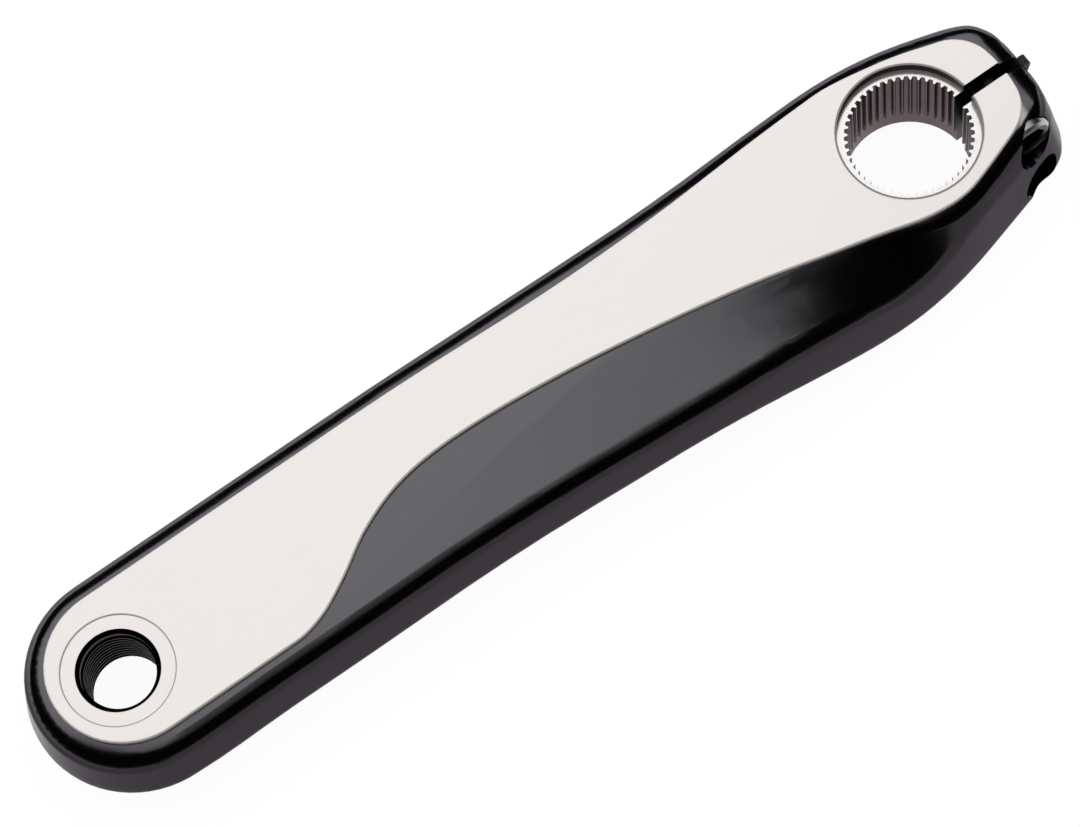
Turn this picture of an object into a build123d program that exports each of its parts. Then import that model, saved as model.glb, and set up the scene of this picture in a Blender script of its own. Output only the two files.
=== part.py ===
import math
import os

from build123d import *

# Left crank arm with a split, splined spindle clamp at one end and a pedal eye at the other.
# Millimetres. Origin on the spindle axis at the inner seat face, +X towards the pedal, +Z outboard,
# +Y towards the flank that carries the scoop and the bolt heads.

# Main sizes
crank_length = 170.0
clamp_width = 22.0
arm_thickness = 14.2
arm_half_width = 18.25
wall_draft = 8.5

# Plan shape of the spindle end
tip_x = -25.0
flank_tip_half_width = 9.9
back_tip_half_width = 10.0
flank_peak_x = 25.0
flank_bulge = 3.85
flank_bulge_end_x = 111.0
back_peak_x = 10.0
back_bulge = 0.2
back_dip_x = 48.0
back_dip = 1.0
back_dip_end_x = 118.0
lean_start_x = -6.0

# Edge rounding and the underside
edge_setback = 2.9
crease_setback = 0.5
clamp_edge_setback = 2.2
clamp_wall_setback = 1.0
underside_setback = 3.3
corner_fullness = 0.55
corner_pieces = 5
crease_pieces = 1
nose_radius = 5.0
nose_height_share = 0.6
nose_last_angle = 78.0
seat_step = 1.0
seat_radius = 17.0
underside_start_x = 6.0
underside_end_x = 62.0

# Scooped flank: it starts flat beside the bright face and twists into the clamp wall
scoop_slope = 3.0
clamp_slope = 73.0
scoop_start_x = 57.0
scoop_end_x = -10.0
scoop_width = 6.0
scoop_inner_y = 15.75
scoop_inner_slope = 0.2164
scoop_inner_end_x = 60.0
scoop_run_out = 28.0
scoop_sag = 0.45
scoop_sag_start_x = 62.0
scoop_sag_peak_x = 38.0
scoop_sag_end_x = 8.0
scoop_sag_room = 0.9
clamp_shoulder = 0.9
shoulder_start_x = 20.0

# Raised bright face. At the clamp its edge is given by distance from the spindle axis and margin to the
# side. Its flank edge is a swoosh that dips past the arm's middle line: the first list gives points by
# distance from the pedal axis and drop below the face's straight edge, the second by distance from the
# spindle axis and height above the middle line.
face_step = 0.9
face_root = 1.8
face_edge_chamfer = 0.25
face_margin = 4.1
back_margin = 3.55
back_straight_x = 112.0
back_waist = 1.1
back_waist_x = 58.0
face_tip_x = -20.8
face_corner_x = -18.6
face_corner_y = 8.5
face_back_margins = [(10.0, 2.5), (2.0, 2.8), (-10.0, 3.2)]
face_flank_margins = [(-10.0, 3.05), (2.0, 3.6)]
swoosh_run_out = [(28.0, 0.0), (34.0, 1.2), (40.0, 4.2), (50.0, 10.3), (60.0, 13.8), (72.0, 14.8)]
swoosh_rise = [(80.0, 0.5), (60.0, 3.25), (40.0, 7.0), (20.0, 12.0)]

# Pedal eye
pedal_round_offset = 1.8
pedal_hole_radius = 6.85
pedal_chamfer = 0.7
pedal_spot_radius = 10.15
pedal_spot_depth = 0.2

# Splined clamp bore
spline_count = 48
spline_root_radius = 11.7
spline_tip_radius = 11.05
spline_gap_share = 0.45
spline_flank_angle = 20.0
spline_overlap = 0.5
land_radius = 11.8
land_length = 4.5
cap_seat_radius = 13.0
cap_seat_depth = 2.0
slot_width = 2.4

# Pinch bolts
bolt_x = -18.0
bolt_height_outer = 16.6
bolt_height_inner = 6.0
bolt_radius = 3.0
bolt_thread_fit = 0.03
bolt_clearance = 0.2
bolt_length = 18.0
bolt_end_room = 0.6
head_radius = 4.2
head_height = 5.2
head_edge = 0.5
head_clearance = 0.25
head_seat_y = 7.2
socket_width = 5.0
socket_depth = 3.0

# Stopper plate
plate_thickness = 2.0
plate_swing = 13.0
plate_pivot_fit = 0.08
plate_eye_radius = 4.6
plate_tip_x = -23.4
plate_top = 20.6
plate_shoulder = 12.4
plate_bore_x = -13.3
plate_corner = 0.9
plate_bolt_gap = 0.4
pin_radius = 0.95
pin_height = 10.6
pin_tip_x = -11.6

# Sections of the arm: close together where the scoop twists, wider apart towards the pedal
nose_station_count = 5
clamp_stations = [-14.0, -8.0, 0.0, 8.0, 16.0, 24.0, 34.0, 46.0, 60.0]
arm_station_count = 7

# Cutters run this far past the faces that they open
cut_room = 0.5

pedal_round_x = crank_length - pedal_round_offset
flank_peak = arm_half_width + flank_bulge
back_peak = arm_half_width + back_bulge


def ease(x, start, end):
    t = min(1.0, max(0.0, (x - start) / (end - start)))
    return t * t * (3 - 2 * t)


def blend(share, first, second):
    return first + (second - first) * share


# Half widths of the arm in plan, measured at the top of the base
def flank_half_width(x):
    if x < flank_peak_x:
        share = (flank_peak_x - x) / (flank_peak_x - tip_x)
        return flank_peak - (flank_peak - flank_tip_half_width) * share**2 - nose_inset(x)
    return blend(ease(x, flank_peak_x, flank_bulge_end_x), flank_peak, arm_half_width)


def back_half_width(x):
    if x < back_peak_x:
        share = (back_peak_x - x) / (back_peak_x - tip_x)
        return back_peak - (back_peak - back_tip_half_width) * share**2 - nose_inset(x)
    if x < back_dip_x:
        return blend(ease(x, back_peak_x, back_dip_x), back_peak, arm_half_width - back_dip)
    return arm_half_width - back_dip * ease(x, back_dip_end_x, back_dip_x)


# The clamp end is rounded off like a nose: every section there is set in by this much
def nose_inset(x):
    reach = max(0.0, tip_x + nose_radius - x)
    return nose_radius - math.sqrt(nose_radius**2 - reach**2)


def base_top(x):
    return clamp_width - face_step - nose_height_share * nose_inset(x)


def underside(x):
    rise = ease(x, underside_start_x, underside_end_x)
    level = blend(rise, seat_step, clamp_width - arm_thickness)
    return level + nose_height_share * nose_inset(x)


# Where the scoop leaves the flat of the base, and how steeply, on the flank side
def scoop_inner(x):
    start = scoop_inner_y - scoop_inner_slope * x
    if x > scoop_inner_end_x:
        start = scoop_inner_y - scoop_inner_slope * scoop_inner_end_x
    run_out = ease(x, scoop_inner_end_x, crank_length - scoop_run_out)
    along = blend(run_out, start, arm_half_width - scoop_width)
    clamp = ease(x, shoulder_start_x, scoop_end_x)
    return blend(clamp, along, flank_half_width(x) - clamp_shoulder)


def clamp_share(x):
    return ease(x, scoop_start_x, scoop_end_x) ** 2


# Corners of one side of a section, across the arm and along its depth, with each corner's setback
def side_corners(x, half_width, inner, slope, share, pieces):
    flare = math.tan(math.radians(wall_draft))
    drop = (half_width - inner) / (1 / math.tan(math.radians(slope)) - flare)
    depth = base_top(x) - underside(x)
    corners = [
        Vector(inner, 0),
        Vector(half_width + drop * flare, -drop),
        Vector(half_width + depth * flare, -depth),
    ]
    setbacks = [
        blend(share, crease_setback, clamp_edge_setback),
        blend(share, edge_setback, clamp_wall_setback),
        underside_setback,
    ]
    return list(zip(corners, setbacks, pieces))


# The flank's scoop is a little hollow before it twists, so it has one more, very open corner
def flank_corners(x):
    share = clamp_share(x)
    slope = blend(share, scoop_slope, clamp_slope)
    pieces = [corner_pieces, corner_pieces, corner_pieces]
    ring = side_corners(x, flank_half_width(x), scoop_inner(x), slope, share, pieces)
    (inner, inner_setback, _), (edge, edge_setback_here, _), _ = ring
    sag = ease(x, scoop_sag_start_x, scoop_sag_peak_x) * ease(x, scoop_sag_end_x, scoop_sag_peak_x)
    half = 0.5 * (edge - inner).length
    room = half - max(inner_setback, edge_setback_here)
    hollow = 0.5 * (inner + edge) - Vector(0, scoop_sag * sag)
    return [ring[0], (hollow, scoop_sag_room * room, crease_pieces), *ring[1:]]


def back_corners(x):
    half_width = back_half_width(x)
    pieces = [crease_pieces, corner_pieces, corner_pieces]
    return side_corners(x, half_width, half_width - scoop_width, scoop_slope, 0.0, pieces)


# A smooth curve round a corner, from setback to setback
def corner_curve(before, corner, after, setback):
    start = corner + (before - corner).normalized() * setback
    end = corner + (after - corner).normalized() * setback
    start_pull = start + (corner - start) * corner_fullness
    end_pull = end + (corner - end) * corner_fullness
    return Bezier(start, start_pull, end_pull, end)


# Corner curves along a row of points, with straight runs between them. A curve is cut into pieces,
# so that every strip of the surface made from it bends only a little.
def rounded_runs(first, ring, last):
    points = [first] + [corner for corner, setback, pieces in ring] + [last]
    edges = []
    ends = []
    for before, (corner, setback, pieces), after in zip(points, ring, points[2:]):
        curve = corner_curve(before, corner, after, setback)
        edges += [curve.trim(i / pieces, (i + 1) / pieces) for i in range(pieces)]
        ends += [curve @ 0, curve @ 1]
    edges += [Line(start, end) for start, end in zip(ends[1:-1:2], ends[2::2])]
    return edges, ends[0], ends[-1]


# Sections lean at the clamp end, so that the end wall has the same draft as the sides
def section_plane(x):
    lean = math.radians(wall_draft) * ease(x, lean_start_x, tip_x + nose_radius)
    way = (math.cos(lean), 0, -math.sin(lean))
    return Plane(origin=(x, 0, base_top(x)), x_dir=(0, 1, 0), z_dir=way)


def section(x):
    ring = flank_corners(x)
    ring += [(Vector(-corner.X, corner.Y), *rest) for corner, *rest in reversed(back_corners(x))]
    edges, start, end = rounded_runs(ring[-1][0], ring, ring[0][0])
    return section_plane(x) * make_face(edges + [Line(end, start)])


def pedal_round():
    corners = back_corners(pedal_round_x)
    top = Vector(0, 0)
    bottom = Vector(0, corners[-1][0].Y)
    edges, start, end = rounded_runs(top, corners, bottom)
    edges += [Line(top, start), Line(end, bottom), Line(bottom, top)]
    axis = Axis((pedal_round_x, 0, 0), (0, 0, -1))
    return revolve(section_plane(pedal_round_x) * make_face(edges), axis, 180)


def arm_stations():
    angles = [nose_last_angle * (1 - i / nose_station_count) for i in range(nose_station_count + 1)]
    nose = [tip_x + nose_radius * (1 - math.sin(math.radians(angle))) for angle in angles]
    last = clamp_stations[-1]
    step = (pedal_round_x - last) / arm_station_count
    arm = [last + step * (i + 1) for i in range(arm_station_count)]
    return nose + clamp_stations + arm


def arm_base():
    base = loft([section(x) for x in arm_stations()])
    seat = Pos(0, 0, seat_step) * Cylinder(
        seat_radius, 2 * seat_step, align=(Align.CENTER, Align.CENTER, Align.CENTER)
    )
    return base + pedal_round() + seat


# Two arcs that join two points, leaving the first and reaching the second along given directions
def arc_pair(start, start_way, end, end_way):
    chord = end - start
    spread = 2 * (1 - start_way.dot(end_way))
    pull = chord.dot(start_way + end_way)
    reach = chord.dot(chord) / (pull + math.sqrt(pull**2 + spread * chord.dot(chord)))
    middle = (start + end + (start_way - end_way) * reach) / 2
    return [TangentArc(start, middle, tangent=start_way), TangentArc(end, middle, tangent=-end_way)]


# A smooth chain of arcs through points, along the X axis at both ends
def arc_chain(points, first_way, last_way):
    ways = [(after - before).normalized() for before, after in zip(points, points[2:])]
    ways = [first_way, *ways, last_way]
    chain = []
    for i in range(len(points) - 1):
        chain += arc_pair(points[i], ways[i], points[i + 1], ways[i + 1])
    return chain


# Outline of the bright face: pedal end, straight back edge, waist, clamp end, swoosh
def face_outline():
    flank_y = arm_half_width - face_margin
    back_y = arm_half_width - back_margin
    run_out_x = crank_length - swoosh_run_out[0][0]
    chain = [(back_straight_x, -back_y), (back_waist_x, -back_y + back_waist)]
    chain += [(x, margin - back_half_width(x)) for x, margin in face_back_margins]
    chain += [(face_corner_x, -face_corner_y), (face_tip_x, 0), (face_corner_x, face_corner_y)]
    chain += [(x, flank_half_width(x) - margin) for x, margin in face_flank_margins]
    chain += reversed(swoosh_rise)
    chain += [(crank_length - distance, flank_y - drop) for distance, drop in reversed(swoosh_run_out)]
    edges = arc_chain([Vector(*point) for point in chain], Vector(-1, 0), Vector(1, 0))
    end_radius = (flank_y + back_y) / 2
    end_tip = (pedal_round_x + end_radius, (flank_y - back_y) / 2)
    edges.append(Line((run_out_x, flank_y), (pedal_round_x, flank_y)))
    edges.append(ThreePointArc((pedal_round_x, flank_y), end_tip, (pedal_round_x, -back_y)))
    edges.append(Line((pedal_round_x, -back_y), (back_straight_x, -back_y)))
    return make_face(edges)


def bright_face():
    height = face_step + face_root
    face = Pos(0, 0, clamp_width - height) * extrude(face_outline(), height)
    return chamfer(face.edges().group_by(Axis.Z)[-1], face_edge_chamfer)


# Pedal eye: threaded hole with a chamfer at both faces and a shallow spot face outside
def pedal_eye():
    inner = clamp_width - arm_thickness
    mouth = pedal_hole_radius + pedal_chamfer
    profile = Polyline(
        (0, inner - cut_room),
        (mouth + cut_room, inner - cut_room),
        (pedal_hole_radius, inner + pedal_chamfer),
        (pedal_hole_radius, clamp_width - pedal_spot_depth - pedal_chamfer),
        (mouth, clamp_width - pedal_spot_depth),
        (pedal_spot_radius, clamp_width - pedal_spot_depth),
        (pedal_spot_radius, clamp_width + cut_room),
        (0, clamp_width + cut_room),
        close=True,
    )
    return Pos(crank_length, 0, 0) * revolve(Plane.XZ * make_face(profile), Axis.Z, 360)


# Splined bore: a round core with tooth gaps around it, a plain land at the inner mouth that fits round
# the spindle, and a seat for the preload cap at the outer one
def tooth_gap():
    pitch = 2 * math.pi / spline_count
    inner = spline_tip_radius - spline_overlap
    flank = math.tan(math.radians(spline_flank_angle))
    root_half = 0.5 * spline_gap_share * pitch * spline_root_radius
    inner_half = root_half + flank * (spline_root_radius - inner)
    return make_face(
        Polyline(
            (inner, -inner_half),
            (spline_root_radius, -root_half),
            (spline_root_radius, root_half),
            (inner, inner_half),
            close=True,
        )
    )


def spindle_bore():
    outline = Circle(spline_tip_radius)
    outline += [
        Rot(0, 0, 360 * (i + 0.5) / spline_count) * tooth_gap() for i in range(spline_count)
    ]
    land = Pos(0, 0, -cut_room) * extrude(Circle(land_radius), land_length + cut_room)
    cap_seat = extrude(Circle(cap_seat_radius), cap_seat_depth + cut_room)
    cap_seat = Pos(0, 0, clamp_width - cap_seat_depth) * cap_seat
    return extrude(outline, clamp_width) + land + cap_seat


def clamp_slot():
    length = spline_tip_radius - tip_x
    middle = -0.5 * spline_tip_radius + 0.5 * tip_x
    return Pos(middle, 0, 0.5 * clamp_width) * Box(length, slot_width, clamp_width + 2 * cut_room)


# A rod along Y between two Y values, through a bolt's axis
def rod_across(radius, first_y, last_y, height):
    length = last_y - first_y
    place = Pos(bolt_x, 0.5 * (first_y + last_y), height) * Rot(90, 0, 0)
    return place * Cylinder(radius, length)


def bolt_hole(height):
    outside = arm_half_width + flank_bulge
    end_y = head_seat_y - bolt_length - bolt_end_room
    counterbore = rod_across(head_radius + head_clearance, head_seat_y, outside, height)
    clearance = rod_across(bolt_radius + bolt_clearance, 0, head_seat_y, height)
    thread = rod_across(bolt_radius + bolt_thread_fit, end_y, 0, height)
    return counterbore + clearance + thread


def crank_arm():
    body = arm_base() + bright_face()
    body -= pedal_eye()
    body -= spindle_bore()
    body -= clamp_slot()
    for height in (bolt_height_outer, bolt_height_inner):
        body -= bolt_hole(height)
    return body


def pinch_bolt(height):
    profile = Polyline(
        (0, -bolt_length),
        (bolt_radius, -bolt_length),
        (bolt_radius, 0),
        (head_radius, 0),
        (head_radius, head_height - head_edge),
        (head_radius - head_edge, head_height),
        (0, head_height),
        close=True,
    )
    bolt = revolve(Plane.XZ * make_face(profile), Axis.Z, 360)
    socket = RegularPolygon(0.5 * socket_width, 6, major_radius=False)
    bolt -= Pos(0, 0, head_height - socket_depth) * extrude(socket, socket_depth)
    return Pos(bolt_x, head_seat_y, height) * Rot(-90, 0, 0) * bolt


# Stopper plate, drawn pushed in, then swung out about the inner bolt as it rests without a spindle
def stopper_plate():
    web_x = bolt_x - bolt_radius - plate_bolt_gap
    outline = make_face(
        FilletPolyline(
            (bolt_x, bolt_height_inner - plate_eye_radius),
            (bolt_x - plate_eye_radius, bolt_height_inner - plate_eye_radius),
            (plate_tip_x, plate_shoulder),
            (plate_tip_x, plate_top),
            (web_x, plate_top),
            (web_x, plate_shoulder),
            (plate_bore_x, plate_shoulder),
            (plate_bore_x, bolt_height_inner),
            radius=plate_corner,
            close=True,
        )
    )
    outline += Pos(bolt_x, bolt_height_inner) * Circle(plate_eye_radius)
    outline -= Pos(bolt_x, bolt_height_inner) * Circle(bolt_radius + plate_pivot_fit)
    plate = extrude(Plane.XZ * outline, 0.5 * plate_thickness, both=True)
    pin_length = pin_tip_x - plate_bore_x
    pin = Pos(pin_tip_x - pin_length, 0, pin_height) * Rot(0, 90, 0) * Cylinder(pin_radius, 2 * pin_length)
    pivot = Axis((bolt_x, 0, bolt_height_inner), (0, 1, 0))
    return (plate + pin).rotate(pivot, -plate_swing)


pieces = {
    "crank_arm": crank_arm(),
    "pinch_bolt_outer": pinch_bolt(bolt_height_outer),
    "pinch_bolt_inner": pinch_bolt(bolt_height_inner),
    "stopper_plate": stopper_plate(),
}

os.makedirs("parts", exist_ok=True)
for name, piece in pieces.items():
    export_step(piece, f"parts/{name}.step")
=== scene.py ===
import math

import bmesh
import bpy
from mathutils import Matrix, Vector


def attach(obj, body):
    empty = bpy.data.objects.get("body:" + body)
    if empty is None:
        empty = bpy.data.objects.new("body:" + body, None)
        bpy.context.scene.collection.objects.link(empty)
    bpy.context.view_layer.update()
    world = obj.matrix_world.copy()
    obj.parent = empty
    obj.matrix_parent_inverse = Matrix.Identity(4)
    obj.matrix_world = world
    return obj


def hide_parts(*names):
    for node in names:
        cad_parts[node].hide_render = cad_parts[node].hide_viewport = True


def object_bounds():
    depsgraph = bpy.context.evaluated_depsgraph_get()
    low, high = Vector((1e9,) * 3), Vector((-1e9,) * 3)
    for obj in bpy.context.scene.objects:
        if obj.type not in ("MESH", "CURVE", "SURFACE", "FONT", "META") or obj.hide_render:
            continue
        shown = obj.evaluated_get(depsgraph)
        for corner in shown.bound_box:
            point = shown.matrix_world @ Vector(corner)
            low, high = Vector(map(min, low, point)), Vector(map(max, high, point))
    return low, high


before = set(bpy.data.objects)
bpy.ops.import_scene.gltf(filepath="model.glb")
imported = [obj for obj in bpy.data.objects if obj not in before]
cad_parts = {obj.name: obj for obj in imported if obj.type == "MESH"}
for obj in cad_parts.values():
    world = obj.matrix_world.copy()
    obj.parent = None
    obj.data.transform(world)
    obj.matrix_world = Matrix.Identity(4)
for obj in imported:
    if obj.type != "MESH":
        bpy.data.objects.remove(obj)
cadLow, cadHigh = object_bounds()
print("frame loaded:", ", ".join(sorted(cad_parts)))

scene = bpy.context.scene
scene.view_settings.view_transform = "Standard"
mm = 0.001


# a shader socket that can stand in sums, so masks read as plain maths
class Wire:
    def __init__(self, tree, socket=None):
        self.tree = tree
        self.socket = socket

    def node(self, kind, settings=None, inputs=None, out=0):
        made = self.tree.nodes.new("ShaderNode" + kind)
        for name, value in (settings or {}).items():
            setattr(made, name, value)
        for name, value in (inputs or {}).items():
            if isinstance(value, Wire):
                self.tree.links.new(value.socket, made.inputs[name])
            else:
                made.inputs[name].default_value = value
        return Wire(self.tree, made.outputs[out] if len(made.outputs) else None)

    def also(self, name):  # another output of the same node
        return Wire(self.tree, self.socket.node.outputs[name])

    def maths(self, operation, first, second=0.0):
        return self.node("Math", {"operation": operation}, {0: first, 1: second})

    def __add__(self, other):
        return self.maths("ADD", self, other)

    def __sub__(self, other):
        return self.maths("SUBTRACT", self, other)

    def __mul__(self, other):
        return self.maths("MULTIPLY", self, other)

    def __radd__(self, other):
        return self.maths("ADD", other, self)

    def __rsub__(self, other):
        return self.maths("SUBTRACT", other, self)

    def __rmul__(self, other):
        return self.maths("MULTIPLY", other, self)

    def __abs__(self):
        return self.maths("ABSOLUTE", self)

    # 0 at low, 1 at high, with a soft step between; low may lie above high
    def step(self, low, high):
        return self.node("MapRange", {"interpolation_type": "SMOOTHSTEP"},
                         {"Value": self, "From Min": low, "From Max": high})

    # this mask chooses between two colours
    def tint(self, first, second):
        return self.node("Mix", {"data_type": "RGBA"},
                         {"Factor": self, 6: first, 7: second}, 2)

    # this mask chooses between two shaders
    def over(self, first, second):
        return self.node("MixShader", None, {"Fac": self, 1: first, 2: second})


def newFinish(name):
    made = bpy.data.materials.new(name)
    made.use_nodes = True
    made.node_tree.nodes.clear()
    return made, Wire(made.node_tree)


def closeFinish(tree, shader):
    tree.node("OutputMaterial", None, {"Surface": shader})


def shade(red, green, blue):
    return (red, green, blue, 1.0)


def dress(piece, finish):
    piece.data.materials.clear()
    piece.data.materials.append(finish)


def objectAxes(tree):
    place = tree.node("TexCoord", None, None, "Object")
    axes = tree.node("SeparateXYZ", None, {"Vector": place}, "X")
    return place, axes, axes.also("Y"), axes.also("Z")


# noise on Object coordinates, stretched by a scale for each axis
def grain(tree, place, stretch, detail=2.0):
    wide = tree.node("VectorMath", {"operation": "MULTIPLY"}, {0: place, 1: stretch})
    return tree.node("TexNoise", None, {"Vector": wide, "Scale": 1.0, "Detail": detail}, "Fac")


# a value that wanders about its level with the noise
def around(level, noise, span):
    return noise * span + (level - 0.5 * span)


def metal(tree, colour, roughness, **sockets):
    inputs = {"Base Color": colour, "Metallic": 1.0, "Roughness": roughness}
    inputs.update(sockets)
    return tree.node("BsdfPrincipled", None, inputs)


# camera at the photograph's viewing angle
cameraSetup = {
    "place": (0.1922, 0.2587, 0.7358),
    "right": (-0.8178, 0.5701, -0.0788),
    "up": (-0.5579, -0.7516, 0.3519),
    "back": (0.1414, 0.3318, 0.9327),
    "lens": 145.37,
}


def addCamera(setup):
    data = bpy.data.cameras.new("photoCamera")
    data.sensor_fit = "HORIZONTAL"
    data.sensor_width = 36.0
    data.lens = setup["lens"]
    data.clip_start = 0.01
    data.clip_end = 100.0
    camera = bpy.data.objects.new("photoCamera", data)
    turn = Matrix((setup["right"], setup["up"], setup["back"])).transposed().to_4x4()
    camera.matrix_world = Matrix.Translation(setup["place"]) @ turn
    scene.collection.objects.link(camera)
    scene.camera = camera


addCamera(cameraSetup)
print("camera placed")


# white floor
floorSetup = {
    "radius": 15.0,
    "segments": 96,
    "glow": 0.95,
    "colour": (0.06, 0.06, 0.06),
    "drop": 0.02 * mm,
}
# soft light overhead: a wide main panel, and a stack of smaller ones that fades out past the main panel's edge
softBoxSetup = {
    "height": 1.02,
    "stackGap": 1.0 * mm,
    "radiance": 1.0,
    "mainPanel": ((-0.75, 0.55), (-0.90, -0.265)),
    "fadePanels": [
        ((-0.08, 0.30), (-0.265, 0.50)),
        ((-0.10, 0.30), (-0.265, 0.26)),
        ((-0.31, 0.27), (-0.265, 0.08)),
        ((-0.27, 0.24), (-0.265, 0.02)),
        ((-0.24, 0.20), (-0.265, -0.04)),
        ((-0.20, 0.17), (-0.265, -0.09)),
        ((-0.16, 0.13), (-0.265, -0.14)),
    ],
}
# wide fill light that lifts matt colours to their written level and stays out of the reflections
fillSetup = {
    "spanX": (-2.9, 3.1),
    "spanY": (-3.0, 3.0),
    "height": 2.2,
    "radiance": 1.18,
}
studioShade = 0.006


def addFloor(setup):
    finish, tree = newFinish("floorWhite")
    camera = tree.node("LightPath", None, None, "Is Camera Ray")
    seen = tree.maths("MAXIMUM", camera, camera.also("Is Glossy Ray"))
    seen = tree.maths("MAXIMUM", seen, camera.also("Is Transmission Ray"))
    glow = tree.node("Emission", None, {"Color": shade(1.0, 1.0, 1.0), "Strength": seen * setup["glow"]})
    paper = tree.node("BsdfDiffuse", None, {"Color": shade(*setup["colour"])})
    closeFinish(tree, tree.node("AddShader", None, {0: glow, 1: paper}))
    mesh = bpy.data.meshes.new("floor")
    form = bmesh.new()
    bmesh.ops.create_circle(form, cap_ends=True, segments=setup["segments"], radius=setup["radius"])
    form.to_mesh(mesh)
    form.free()
    floor = bpy.data.objects.new("floor", mesh)
    floor.location.z = cadLow.z - setup["drop"]
    scene.collection.objects.link(floor)
    dress(floor, finish)


def addPanel(name, spanX, spanY, height, radiance):
    data = bpy.data.lights.new(name, "AREA")
    data.shape = "RECTANGLE"
    data.size = spanX[1] - spanX[0]
    data.size_y = spanY[1] - spanY[0]
    data.energy = radiance * math.pi * data.size * data.size_y
    lamp = bpy.data.objects.new(name, data)
    lamp.location = (0.5 * sum(spanX), 0.5 * sum(spanY), height)
    scene.collection.objects.link(lamp)
    return lamp


def addSoftBox(setup):
    height = setup["height"]
    addPanel("mainPanel", *setup["mainPanel"], height, setup["radiance"])
    share = setup["radiance"] / len(setup["fadePanels"])
    for number, (spanX, spanY) in enumerate(setup["fadePanels"]):
        lift = (number + 1) * setup["stackGap"]
        addPanel(f"fadePanel{number}", spanX, spanY, height + lift, share)


def addFill(setup):
    fill = addPanel("fillPanel", setup["spanX"], setup["spanY"], setup["height"], setup["radiance"])
    fill.visible_glossy = False


addFloor(floorSetup)
addSoftBox(softBoxSetup)
addFill(fillSetup)
world = bpy.data.worlds.new("studio")
world.use_nodes = True
world.node_tree.nodes["Background"].inputs["Color"].default_value = shade(*[studioShade] * 3)
scene.world = world
print("floor and light set")


# arm: gloss black body, satin silver raised face, dark metal in the bore and the pedal eye
armFinish = {
    "blur": 0.04 * mm,
    "faceFoot": 21.14 * mm,
    "wallFoot": 20.98 * mm,
    "faceTop": 21.93 * mm,
    "faceColour": (0.846, 0.806, 0.780),
    "faceStreak": (0.829, 0.789, 0.763),
    "faceRoughness": 0.22,
    "faceVary": 0.04,
    "faceMetal": 0.35,
    "faceGrain": (140.0, 5200.0, 900.0),
    "spotEdgeShade": (0.36, 0.33, 0.31),
    "boreRimShade": (0.055, 0.05, 0.05),
    "boreRimShadeStrength": 0.8,
    "bodyColour": (0.141, 0.138, 0.148),
    "bodyWallShade": (0.032, 0.028, 0.0315),
    "bodyRim": (0.65, 0.63, 0.66),
    "bodyRoughness": 0.20,
    "bodyVary": 0.04,
    "peelSize": 900.0,
    "peelDepth": 0.003 * mm,
    "toothColour": (0.080, 0.046, 0.050),
    "ledgeColour": (1.0, 0.98, 0.96),
    "eyeColour": (0.034, 0.032, 0.030),
    "shadowColour": (0.012, 0.012, 0.012),
    "cutRoughness": 0.38,
    "cutVary": 0.12,
    "cutGrain": (420.0, 420.0, 160.0),
    "ledgePolish": 0.2,
    "ledgeMetal": 0.85,
    "seatRadius": 13.0 * mm,
    "seatFloor": 20.0 * mm,
    "rimWidth": 0.5 * mm,
    "slotHalf": 1.26 * mm,
    "pedalAxis": 170.0 * mm,
    "eyeRadius": 7.6 * mm,
    "spotRadius": 10.22 * mm,
    "spotLine": 0.17 * mm,
}


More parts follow.
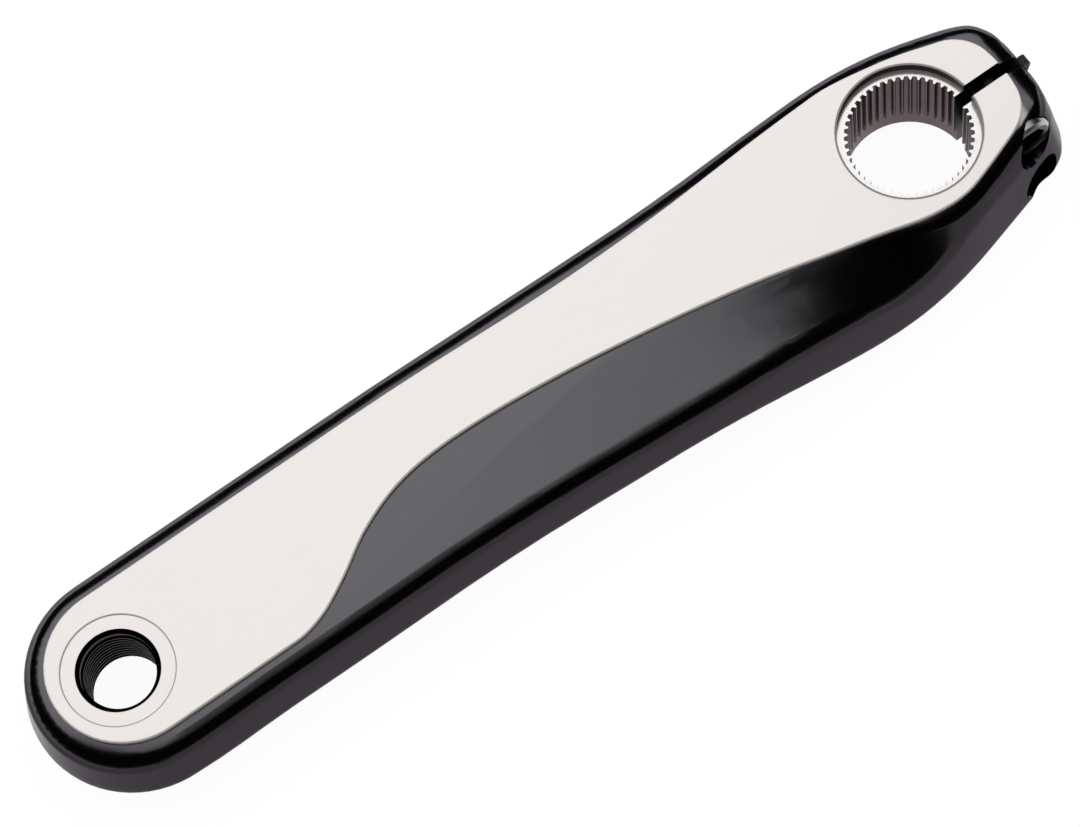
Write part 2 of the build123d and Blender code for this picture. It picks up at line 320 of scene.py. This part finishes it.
def armMaterial(setup):
    finish, tree = newFinish("armAluminium")
    place, x, y, z = objectAxes(tree)
    facing = tree.node("TexCoord", None, None, "Normal")
    upward = tree.node("SeparateXYZ", None, {"Vector": facing}, "Z")
    blur = setup["blur"]
    seat = setup["seatRadius"]

    boreDistance = tree.maths("SQRT", x * x + y * y)
    pedalX = x - setup["pedalAxis"]
    pedalDistance = tree.maths("SQRT", pedalX * pedalX + y * y)
    onTop = z.step(setup["faceTop"] - blur, setup["faceTop"] + blur) * upward.step(0.5, 0.6)
    raised = z.step(setup["faceFoot"] - blur, setup["faceFoot"] + blur)
    faceWall = z.step(setup["wallFoot"] - blur, setup["wallFoot"] + blur) * upward.step(0.5, 0.4)
    raised = tree.maths("MAXIMUM", raised, faceWall)
    inBore = boreDistance.step(seat + 3 * blur, seat + blur) * (1 - onTop)
    inEye = pedalDistance.step(setup["eyeRadius"] + blur, setup["eyeRadius"] - blur)
    inSlot = abs(y).step(setup["slotHalf"] + blur, setup["slotHalf"]) * x.step(0.0, -1.0 * mm)

    # silver face: fine lines along the arm, a grey ring round the pedal eye painted as the shade of the spot
    # face's edge, and a dark ring at the bore painted as the shade of its edge
    streak = grain(tree, place, setup["faceGrain"])
    # painted shade: a grey line where the spot face's edge would lie in shade
    spot = abs(pedalDistance - setup["spotRadius"]).step(setup["spotLine"], 0.4 * setup["spotLine"])
    # painted shade: a dark ring standing for the shaded chamfer round the bore's top edge
    boreRimShadeMask = boreDistance.step(seat + setup["rimWidth"], seat + 0.5 * setup["rimWidth"]) * setup["boreRimShadeStrength"]
    silver = streak.step(0.3, 0.7).tint(shade(*setup["faceColour"]), shade(*setup["faceStreak"]))
    silver = spot.tint(silver, shade(*setup["spotEdgeShade"]))
    silver = boreRimShadeMask.tint(silver, shade(*setup["boreRimShade"]))
    faceGloss = around(setup["faceRoughness"], streak, setup["faceVary"])
    face = metal(tree, silver, faceGloss, Metallic=setup["faceMetal"])

    # black body: painted shade darkens its walls, with a faint orange peel
    peel = grain(tree, place, (setup["peelSize"],) * 3)
    bump = tree.node("Bump", None, {"Strength": 1.0, "Distance": setup["peelDepth"], "Height": peel})
    # painted shade: faces that don't point up take the darker wall colour
    black = upward.step(0.5, 0.85).tint(shade(*setup["bodyWallShade"]), shade(*setup["bodyColour"]))
    body = metal(tree, black, around(setup["bodyRoughness"], peel, setup["bodyVary"]),
                 **{"Specular Tint": shade(*setup["bodyRim"]), "Normal": bump})

    # cut metal: brown teeth, bright ledge, black wall above the ledge, dark pedal eye, painted shade in the
    # slot
    wear = grain(tree, place, setup["cutGrain"])
    level = upward.step(0.5, 0.7)
    inSeat = z.step(setup["seatFloor"] - blur, setup["seatFloor"] + 3 * blur)
    cutColour = inSeat.tint(shade(*setup["toothColour"]), shade(*setup["shadowColour"]))
    cutColour = level.tint(cutColour, shade(*setup["ledgeColour"]))
    cutColour = inEye.tint(cutColour, shade(*setup["eyeColour"]))
    # painted shade: the slot's walls take the shadow colour, for the shade inside the narrow slot
    cutColour = inSlot.tint(cutColour, shade(*setup["shadowColour"]))
    ledge = level * (1 - inEye)
    cutGloss = around(setup["cutRoughness"], wear, setup["cutVary"]) - ledge * setup["ledgePolish"]
    cut = metal(tree, cutColour, cutGloss, Metallic=1 - ledge * (1 - setup["ledgeMetal"]))

    outside = raised.over(body, face)
    bare = tree.maths("MAXIMUM", tree.maths("MAXIMUM", inBore, inEye), inSlot)
    closeFinish(tree, bare.over(outside, cut))
    return finish


def newPiece(name, form):
    mesh = bpy.data.meshes.new(name)
    form.to_mesh(mesh)
    form.free()
    piece = bpy.data.objects.new(name, mesh)
    scene.collection.objects.link(piece)
    return piece


def markSharp(form, angle):
    limit = math.radians(angle)
    for edge in form.edges:
        edge.smooth = edge.calc_face_angle(math.pi) < limit


# arm piece: the CAD shape with its facets joined and shaded as one smooth skin
armPiece = {
    "join": 0.002 * mm,
    "sharpAngle": 30.0,
    "evenWeight": 50,
}


def addArm(setup, finish):
    form = bmesh.new()
    form.from_mesh(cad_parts["crank_arm"].data)
    bmesh.ops.remove_doubles(form, verts=form.verts, dist=setup["join"])
    for skin in form.faces:
        skin.smooth = True
    markSharp(form, setup["sharpAngle"])
    piece = newPiece("armBody", form)
    even = piece.modifiers.new("evenShading", "WEIGHTED_NORMAL")
    even.keep_sharp = True
    even.weight = setup["evenWeight"]
    dress(piece, finish)
    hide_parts("crank_arm")
    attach(piece, "arm")


# left-hand pedal thread: one ridge spun up the wall of the eye
threadPiece = {
    "axisX": 170.0 * mm,
    "low": 8.95 * mm,
    "turns": 9,
    "pitch": 1.27 * mm,
    "ridge": ((6.95, -0.50), (6.50, -0.10), (6.50, 0.10), (6.95, 0.50)),
    "stepsPerTurn": 48,
    "sharpAngle": 25.0,
}


def addThread(setup, finish):
    form = bmesh.new()
    corners = [form.verts.new((setup["axisX"] + radius * mm, 0.0, setup["low"] + height * mm))
               for radius, height in setup["ridge"]]
    start = form.faces.new(corners)
    steps = setup["stepsPerTurn"]
    spun = bmesh.ops.spin(
        form, geom=start.edges[:], cent=(setup["axisX"], 0.0, 0.0), axis=(0.0, 0.0, 1.0),
        dvec=(0.0, 0.0, setup["pitch"] / steps), angle=-2 * math.pi * setup["turns"],
        steps=steps * setup["turns"])
    last = [item for item in spun["geom_last"] if isinstance(item, bmesh.types.BMEdge)]
    bmesh.ops.edgeloop_fill(form, edges=last)
    bmesh.ops.recalc_face_normals(form, faces=form.faces)
    for skin in form.faces:
        skin.smooth = len(skin.verts) == 4
    markSharp(form, setup["sharpAngle"])
    piece = newPiece("pedalThread", form)
    dress(piece, finish)
    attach(piece, "arm")


armMetal = armMaterial(armFinish)
addArm(armPiece, armMetal)
addThread(threadPiece, armMetal)
print("arm and pedal thread made")


# pinch bolts: dark plated steel, lighter grey round the head's outer edge
boltFinish = {
    "axisX": -18.0 * mm,
    "heights": {"pinch_bolt_outer": 16.6 * mm, "pinch_bolt_inner": 6.0 * mm},
    "edgeRadius": 3.55 * mm,
    "edgeBlur": 0.2 * mm,
    "colour": (0.035, 0.034, 0.036),
    "edgeColour": (0.52, 0.50, 0.51),
    "roughness": 0.34,
    "vary": 0.16,
    "grainSize": 700.0,
}


def boltMaterial(name, setup, height):
    finish, tree = newFinish(name)
    place, x, y, z = objectAxes(tree)
    sideways = x - setup["axisX"]
    upwards = z - height
    distance = tree.maths("SQRT", sideways * sideways + upwards * upwards)
    edge = distance.step(setup["edgeRadius"], setup["edgeRadius"] + setup["edgeBlur"])
    wear = grain(tree, place, (setup["grainSize"],) * 3)
    colour = edge.tint(shade(*setup["colour"]), shade(*setup["edgeColour"]))
    closeFinish(tree, metal(tree, colour, around(setup["roughness"], wear, setup["vary"])))
    return finish


for node, height in boltFinish["heights"].items():
    finishName = node.replace("_", " ").title().replace(" ", "")
    dress(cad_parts[node], boltMaterial(finishName, boltFinish, height))

# stopper plate: black moulded plastic with a fine grain
plateFinish = {
    "colour": (0.012, 0.012, 0.013),
    "worn": (0.022, 0.022, 0.023),
    "roughness": 0.5,
    "vary": 0.1,
    "specular": 0.3,
    "patchSize": 260.0,
    "patchDetail": 3.0,
    "grainSize": 3000.0,
    "grainStrength": 0.6,
    "grainDepth": 0.01 * mm,
}


def plateMaterial(setup):
    finish, tree = newFinish("stopperPlastic")
    place = tree.node("TexCoord", None, None, "Object")
    pebble = grain(tree, place, (setup["grainSize"],) * 3)
    patch = grain(tree, place, (setup["patchSize"],) * 3, setup["patchDetail"])
    bump = tree.node("Bump", None, {
        "Strength": setup["grainStrength"], "Distance": setup["grainDepth"], "Height": pebble})
    colour = patch.step(0.35, 0.7).tint(shade(*setup["colour"]), shade(*setup["worn"]))
    closeFinish(tree, tree.node("BsdfPrincipled", None, {
        "Base Color": colour,
        "Roughness": setup["roughness"] + patch * setup["vary"],
        "Specular IOR Level": setup["specular"],
        "Normal": bump,
    }))
    return finish


dress(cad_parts["stopper_plate"], plateMaterial(plateFinish))
print("bolts and stopper plate finished")
